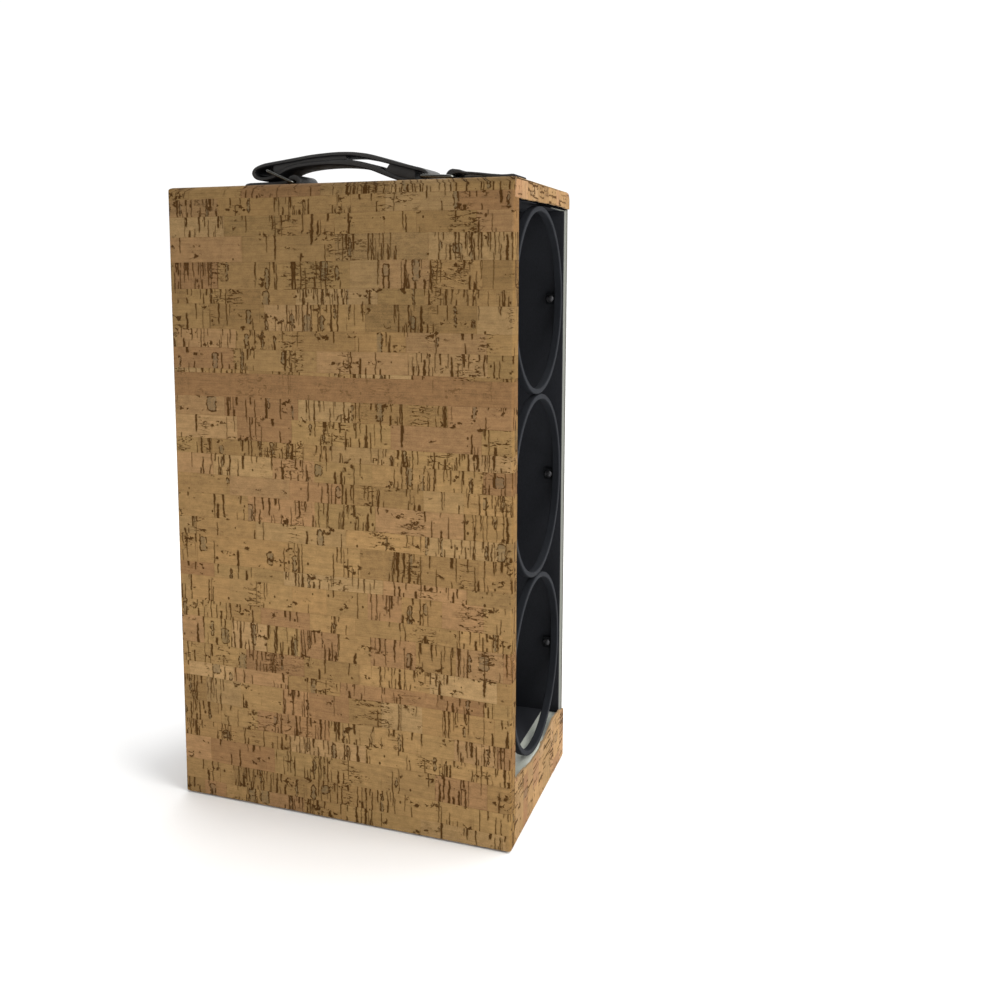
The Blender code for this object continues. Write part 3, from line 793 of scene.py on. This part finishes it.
def end_ring(side, s, tier, zc):
    c, n = 0.35, 96
    a, b = RING_OUT - RING_L, RING_OUT
    ri, ro = RING_OR - RING_T, RING_OR
    prof = [(a + c, ri), (b - c, ri), (b, ri + c), (b, ro - c), (b - c, ro), (a + c, ro), (a, ro - c), (a, ri + c)]
    if s < 0:
        prof = [(-x, r) for x, r in prof]
    rings = []
    for i in range(n):
        t = 2 * pi * i / n
        rings.append([(x, r * sin(t), zc + r * cos(t)) for x, r in prof])
    bm = swept(rings)
    me = bpy.data.meshes.new("r")
    bm.to_mesh(me)
    bm.free()
    me.materials.append(RING)
    me.materials.append(LUG)
    ob = bpy.data.objects.new("r", me)
    bpy.context.scene.collection.objects.link(ob)
    zl = zc + LUG_DZ[tier]
    tools = []
    for t in (-1, 1):
        x = (82.9, 88.6) if s > 0 else (-88.6, -82.9)
        y = (46.4, 48.2) if t > 0 else (-48.2, -46.4)
        lb = box_bm(x, y, (zl - 3.2, zl + 3.2))
        bmesh.ops.bevel(lb, geom=lb.edges[:], offset=0.3 * MM, segments=2, affect='EDGES')
        lm = bpy.data.meshes.new("l")
        lb.to_mesh(lm)
        lb.free()
        lm.materials.append(RING)
        lm.materials.append(LUG)
        for f in lm.polygons:
            f.material_index = 1
        lo = bpy.data.objects.new("l", lm)
        bpy.context.scene.collection.objects.link(lo)
        md = ob.modifiers.new("u", 'BOOLEAN')
        md.operation = 'UNION'
        md.solver = 'EXACT'
        md.object = lo
        tools.append(lo)
    bm = evaluated(ob)
    for lo in tools:
        bpy.data.objects.remove(lo, do_unlink=True)
    out = piece("end_ring_%s_%s" % (side, tier), bm, [RING, LUG], flat_angle=30.0)
    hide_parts("ring_%s_%s" % (side, tier))


def head(bm, centre, axis, prof, n=28):
    """A turned rivet head: (radius, height) from the crown down, mm."""
    axis = Vector(axis).normalized()
    e1 = axis.orthogonal().normalized()
    e2 = axis.cross(e1)
    c = Vector(centre)
    crown = bm.verts.new((c + axis * prof[0][1]) * MM)
    last = None
    for r, h in prof[1:]:
        ring = [bm.verts.new((c + axis * h + (e1 * cos(2 * pi * i / n) + e2 * sin(2 * pi * i / n)) * r) * MM)
                for i in range(n)]
        for i in range(n):
            j = (i + 1) % n
            if last is None:
                bm.faces.new((crown, ring[i], ring[j]))
            else:
                bm.faces.new((last[i], ring[i], ring[j], last[j]))
        last = ring
    bm.faces.new(list(reversed(last)))


for side, s in (("right", 1), ("left", -1)):
    for tier, zc in RING_Z.items():
        end_ring(side, s, tier, zc)
        for wall, t in (("front", -1), ("rear", 1)):
            bm = bmesh.new()
            head(bm, (s * LUG_X, t * 46.1, zc + LUG_DZ[tier]), (0, -t, 0),
                 [(0, 1.2), (0.7, 1.12), (1.3, 0.92), (1.8, 0.55), (2.1, 0.15), (2.1, 0.0), (1.15, 0.0), (1.15, -7.4)])
            nm = "ring_rivet_%s_%s_%s" % (side, tier, wall)
            ob = piece("pin_" + nm, bm, [RIVET], flat_angle=50.0)
            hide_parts(nm)

# -------------------------------------------------------------- the handle
TOP = H + GAP
PIVOT_L, PIVOT_R = (-44.0, 334.6), (47.7, 334.6)
LIFT_L, LIFT_R, LOOP_L, LOOP_Y = 23.7, 3.5, 17.4, 12.6
HALF = 11.0
ctrl = [(-62.9, 345.2), (-57.9, 346.0), (-52.9, 346.6), (-43.1, 347.8), (-33.5, 349.0),
        (-24.0, 349.65), (-17.0, 349.85), (-9.8, 349.6), (-5.2, 349.1), (-0.6, 348.4), (4.0, 347.3),
        (8.6, 346.0), (13.1, 344.6), (17.6, 343.2), (22.1, 342.0), (26.6, 340.8), (30.6, 339.7),
        (33.3, 338.2), (34.5, 336.1), (34.1, 334.0), (32.4, 332.5), (29.5, 331.8), (26.0, 331.9),
        (22.0, 332.5), (18.0, 333.5), (14.0, 334.8), (10.0, 336.3), (6.2, 337.8), (2.7, 339.2),
        (-0.9, 340.3), (-4.5, 341.2), (-8.0, 341.9), (-11.6, 342.5), (-17.0, 343.0), (-24.0, 343.3),
        (-33.5, 343.1), (-41.0, 342.4), (-45.5, 341.6), (-49.0, 340.5), (-52.5, 338.8),
        (-56.0, 337.2), (-60.0, 336.2), (-64.0, 336.1), (-67.6, 337.2), (-69.5, 339.3),
        (-69.5, 341.3), (-67.6, 343.5)]
band = smooth_loop(ctrl, 4)


def thick(x, z):
    if z > 346.5 - 0.26 * (x + 20.0):
        return 2.0 + 0.55 * max(0.0, min(1.0, (x + 9.0) / 9.0, (16.0 - x) / 6.0))
    return 2.0 + 1.2 * max(0.0, min(1.0, (x + 26.0) / 16.0, (13.0 - x) / 8.0))


def slab_ring(outer, inner, half, r=0.45):
    """Section of a strap between an outer and an inner point, with eased edges.
    Each entry is (x, y, z)."""
    t = hypot(outer[0] - inner[0], outer[1] - inner[1])
    e = min(0.45, r / t)

    def at(k, y):
        return (inner[0] + (outer[0] - inner[0]) * k, y, inner[1] + (outer[1] - inner[1]) * k)

    q = 0.29
    pts = [at(1.0, -half + r), at(1.0 - e * q, -half + r * q), at(1.0 - e, -half),
           at(0.5, -half - 0.06), at(e, -half), at(e * q, -half + r * q), at(0.0, -half + r),
           at(0.0, 0.0),
           at(0.0, half - r), at(e * q, half - r * q), at(e, half), at(0.5, half + 0.06),
           at(1.0 - e, half), at(1.0 - e * q, half - r * q), at(1.0, half - r), at(1.0, 0.0)]
    return pts


def edge_faces(bm, half):
    """Give the cut edges their own finish."""
    for f in bm.faces:
        c = f.calc_center_median() / MM
        if abs(c.y) > half - 0.25:
            f.material_index = 1


hollow = inset(band, thick)
bm = swept([slab_ring(o, i, HALF) for o, i in zip(band, hollow)])
edge_faces(bm, HALF)
bmesh.ops.recalc_face_normals(bm, faces=bm.faces)
# faces turned down get painted shade: a darker, duller leather
for f in bm.faces:
    if f.normal.z < -0.3:
        f.material_index = 2
strap = piece("strap_band", bm, [LEATHER, EDGE, STRAP_PAINTED_SHADE], body="handle", flat_angle=60.0)
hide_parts("handle_strap")


def pad(name, x0, x1, n, node):
    """A layer that fills the band, eased at its edges and cut at a slant at its ends."""
    inner = inset(band, lambda x, z: thick(x, z) - 0.25)
    rings = []
    for i in range(n + 1):
        x = x0 + (x1 - x0) * i / n
        lo, hi = level(inner, x, False), level(inner, x, True)
        mid = (lo + hi) / 2
        k = 1.0
        rings.append(slab_ring((x, mid + (hi - mid) * k), (x, mid + (lo - mid) * k), HALF - 0.7, r=0.8))
    bm = swept(rings, closed=False)
    edge_faces(bm, HALF - 0.7)
    for v in bm.verts:                               # the ends that look into the slot are cut at a slant
        x, y, z = v.co / MM
        if x0 < 0:
            v.co.x -= y / 11.0 * 4.0 * max(0.0, min(1.0, (x + 30.0) / 12.0)) * MM
        else:
            lo, hi = level(inner, x, False), level(inner, x, True)
            v.co.x += (z - (lo + hi) / 2) * 0.7 * max(0.0, min(1.0, (15.0 - x) / 3.0)) * MM
    ob = piece(name, bm, [LEATHER, EDGE], body="handle", flat_angle=60.0)
    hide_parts(node)


pad("strap_filler_left", -56.5, -16.5, 20, "handle_core_left")
pad("strap_filler_right", 10.9, 26.3, 9, "handle_core_right")


def round_wire(name, pivot, lift, body, node, w):
    r, k = 2.0, 14
    pts = []
    for cx, cy, s in ((-r, LOOP_Y - r, 90), (-LOOP_L + r, LOOP_Y - r, 180),
                      (-LOOP_L + r, -LOOP_Y + r, 270), (-r, -LOOP_Y + r, 360)):
        pts += arc(cx, cy, r, s - 90, s, 7)
    n = len(pts)
    turn = Matrix.Rotation(radians(lift), 3, 'Y')
    rings = []
    for i, (x, y) in enumerate(pts):
        (ax, ay), (bx, by) = pts[i - 1], pts[(i + 1) % n]
        t = Vector((bx - ax, by - ay, 0)).normalized()
        side = Vector((-t.y, t.x, 0))
        ring = []
        for j in range(k):
            a = 2 * pi * j / k
            p = Vector((x, y, 0)) + side * (w * cos(a)) + Vector((0, 0, w * sin(a)))
            p = turn @ p
            ring.append((p.x + pivot[0], p.y, p.z + pivot[1]))
        rings.append(ring)
    ob = piece(name, swept(rings), [NICKEL], body=body, flat_angle=80.0)
    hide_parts(node)


round_wire("wire_loop_left", PIVOT_L, LIFT_L, "loop_left", "loop_left", 0.8)
round_wire("wire_loop_right", PIVOT_R, LIFT_R, "loop_right", "loop_right", 1.0)


def folded_tab(name, s, pivot, x_end, top_line, thin, fill=0.0):
    """A strap laid on the box, taken round the loop's bar and back over itself.
    s is +1 where the tab runs to +X from its eye; fill is the layer between."""
    px, pz = pivot
    def under(dx):
        return 2.0 + fill * max(0.0, min(1.0, (dx - 4.6) / 1.6, (23.0 - dx) / 9.0))

    r_out = 4.05
    path = []                                       # (outer, inner) pairs
    # under layer, from its free end in to the eye
    n = 18
    for i in range(n):
        x = x_end + (px + s * 1.0 - x_end) * i / n
        path.append(((x, H + 0.03), (x, TOP + under(abs(x - px)))))
    a0, a1 = (-92.0, -268.0) if s > 0 else (-88.0, 88.0)
    steps = 22
    for i in range(steps + 1):
        a = radians(a0 + (a1 - a0) * i / steps)
        k = i / steps
        ro, ri = r_out + 0.1, 1.35
        path.append(((px + ro * cos(a), max(H + 0.03, pz + ro * sin(a))), (px + ri * cos(a), pz + ri * sin(a))))
    # upper layer, back out over the under one
    for i, (dx, z) in enumerate(top_line):
        x = px + s * dx
        tu = 2.0 + (thin - 2.0) * max(0.0, min(1.0, (dx - 3.0) / 3.0))
        shut = max(0.0, min(1.0, (dx - 17.0) / 7.0))
        t0 = under(dx)
        tu += (z - t0 - tu) * shut
        path.append(((x, TOP + z), (x, max(TOP + t0 + 0.05, TOP + z - tu))))
    return path


def tab_piece(name, path, node):
    bm = swept([slab_ring(o, i, HALF) for o, i in path], closed=False)
    edge_faces(bm, HALF)
    for f in bm.faces:                               # the cut end gets painted shade: darker and duller than the leather
        if abs(f.calc_center_median().x) > (79.9 if name.endswith("right") else 73.4) * MM:
            f.material_index = 2
    ob = piece(name, bm, [LEATHER, EDGE, STRAP_PAINTED_SHADE], flat_angle=50.0)
    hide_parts(node)
    return ob


right_line = [(2.4, 8.1), (3.6, 7.9), (4.6, 7.4), (5.5, 7.0), (6.6, 6.85), (9.3, 6.65), (14.0, 6.15), (20.3, 5.3),
              (26.0, 4.75), (29.0, 4.75), (31.3, 4.9), (32.3, 4.8), (32.9, 4.5)]
tab_piece("tab_strap_right", folded_tab("r", 1, PIVOT_R, 80.9, right_line, 1.2, fill=2.5), "tab_right")
left_line = [(2.2, 7.9), (3.2, 7.0), (4.2, 5.9), (5.2, 5.25), (9.0, 5.05), (14.0, 4.98), (20.0, 4.94),
             (27.0, 4.9), (29.2, 4.5), (30.0, 3.9)]
tab_piece("tab_strap_left", folded_tab("l", -1, PIVOT_L, -74.2, left_line, 2.0), "tab_left")

for side, xs, line, px, s in (("right", (61.0, 74.5), right_line, 47.7, 1), ("left", (-57.0, -70.0), left_line, -44.0, -1)):
    for i, x in enumerate(xs):
        dx = abs(x - px)
        z = next(a[1] + (b[1] - a[1]) * (dx - a[0]) / (b[0] - a[0]) for a, b in zip(line, line[1:]) if a[0] <= dx <= b[0])
        bm = bmesh.new()
        head(bm, (x, 0.0, TOP + z), (0, 0, 1),
             [(0, 0.45), (0.9, 0.42), (1.8, 0.32), (2.4, 0.16), (2.8, 0.0), (2.75, -0.25), (1.3, -0.3), (1.3, -8.0)])
        nm = "tab_rivet_%s_%s" % (side, ("inner", "outer")[i])
        ob = piece("pin_" + nm, bm, [RIVET], flat_angle=50.0)
        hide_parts(nm)

# the pale core of the folded strap shows as a fine line between its layers
for y in (-1, 1):
    rings = [[(x, y * 11.10, TOP + z), (x, y * 10.6, TOP + z), (x, y * 10.6, TOP + z + h), (x, y * 11.10, TOP + z + h)]
             for x, z, h in ((54.2, 4.52, 0.26), (57.0, 4.52, 0.40), (60.0, 4.50, 0.34), (63.5, 4.26, 0.2), (67.5, 3.65, 0.1))]
    ob = piece("tab_core_line_%s" % ("front" if y < 0 else "rear"), swept(rings, closed=False), [PALE_CUT], flat_angle=30.0)

# ------------------------------------------------- finishes of the CAD nodes
for nm, mt in (("front_panel", BOARD), ("rear_panel", BOARD), ("top_panel", BOARD), ("floor_board", FLOOR_BOARD),
               ("bottom_board", BOARD), ("base_rail_left", BOARD), ("base_rail_right", BOARD),
               ("base_rail_front", BOARD), ("base_rail_rear", BOARD),
               ("lining_front", LINING), ("lining_rear", LINING), ("lining_top", LINING), ("lining_floor", LINING)):
    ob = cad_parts[nm]
    for slot in ob.material_slots:
        slot.material = mt

# the underside: a sheet of its own under the base
bm = box_bm((-XB, XB), (-Y1 + 0.6, Y1 - 0.6), (0.0, CORK))
bmesh.ops.bevel(bm, geom=bm.edges[:], offset=0.25 * MM, segments=2, affect='EDGES')
layer = bm.loops.layers.uv.new("sheet")
for f in bm.faces:
    for l in f.loops:
        l[layer].uv = (l.vert.co.x, l.vert.co.y)
ob = piece("cork_underside", bm, [CORK_BASE], flat_angle=40.0)
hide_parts("cork_bottom")

# ==================================================================== stage
m = Mat("pale_floor", rough=0.9, specular=0.1)
x, y, z = m.place()
n = m.noise(x / 400.0, y / 400.0, 0.0, detail=1.0)
m.finish(m.ramp(n, [(0.3, (0.925, 0.925, 0.923)), (0.7, (0.935, 0.935, 0.933))]))
bm = bmesh.new()
bmesh.ops.create_circle(bm, cap_ends=True, radius=30.0, segments=64)
bmesh.ops.translate(bm, vec=(0, 0, -0.0004), verts=bm.verts)
me = bpy.data.meshes.new("stage_floor")
bm.to_mesh(me)
bm.free()
me.materials.append(m.mat)
floor = bpy.data.objects.new("stage_floor", me)
bpy.context.scene.collection.objects.link(floor)

WORLD_FRONT = 0.03
world = bpy.data.worlds.new("studio")
bpy.context.scene.world = world
world.use_nodes = True
bg = world.node_tree.nodes["Background"]
wt = world.node_tree
tc = wt.nodes.new("ShaderNodeTexCoord")
sep = wt.nodes.new("ShaderNodeSeparateXYZ")
wt.links.new(tc.outputs["Generated"], sep.inputs[0])
# white all round the horizon, dimmer high up on the side that the front faces
dim = (1.0 - Val(wt, sep.outputs[1]).step(-0.75, 0.35)) * Val(wt, sep.outputs[2]).step(0.14, 0.34)
fall = 1.04 - dim * (1.04 - WORLD_FRONT)
wt.links.new(fall.out, bg.inputs["Strength"])
bg.inputs["Color"].default_value = (1.0, 1.0, 1.0, 1.0)


def area(name, at, to, size, power, colour=(1.0, 1.0, 1.0)):
    li = bpy.data.lights.new(name, 'AREA')
    li.shape = 'DISK'
    li.size = size
    li.energy = power
    li.color = colour
    ob = bpy.data.objects.new(name, li)
    bpy.context.scene.collection.objects.link(ob)
    ob.location = at
    ob.visible_camera = False
    ob.rotation_euler = (Vector(to) - Vector(at)).to_track_quat('-Z', 'Y').to_euler()
    return ob


area("key", (2.1, -0.35, 1.35), (0, 0, 0.15), 1.9, 55.0, (1.0, 0.985, 0.96))
area("low_fill", (-0.02, -0.47, 0.03), (-0.02, 0, 0.05), 0.3, 1.35, (1.0, 0.99, 0.97))
sun = bpy.data.lights.new("overhead", 'SUN')
sun.energy = 1.75
sun.angle = radians(70.0)
ob = bpy.data.objects.new("overhead", sun)
bpy.context.scene.collection.objects.link(ob)
ob.rotation_euler = Vector((0.25, 0.50, 1.0)).to_track_quat('Z', 'Y').to_euler()

# =================================================================== camera
# Solved from the box's corners and edges in the picture.
CAM_AT = (0.225947, -0.523003, 0.284825)
CAM_X = (0.9401428765619939, 0.3407736850171419, -0.0021603818128224372)
CAM_DOWN = (0.037782385100050664, -0.11053210388113688, -0.993154139792893)
CAM_VIEW = (-0.33867958755421157, 0.9336251654767279, -0.11679121269454229)
cam = bpy.data.cameras.new("camera")
cam.sensor_width = 36.0
cam.lens = 37.3372
cam.shift_x = 0.060335
cam.shift_y = -0.103613
cam.clip_start = 0.01
cam.clip_end = 100.0
eye = bpy.data.objects.new("camera", cam)
bpy.context.scene.collection.objects.link(eye)
rot = Matrix((CAM_X, tuple(-c for c in CAM_DOWN), tuple(-c for c in CAM_VIEW))).transposed()
eye.matrix_world = Matrix.Translation(CAM_AT) @ rot.to_4x4()
bpy.context.scene.camera = eye

view = bpy.context.scene.view_settings
view.view_transform = 'Standard'
view.look = 'None'
view.exposure = 0.0
view.gamma = 1.0
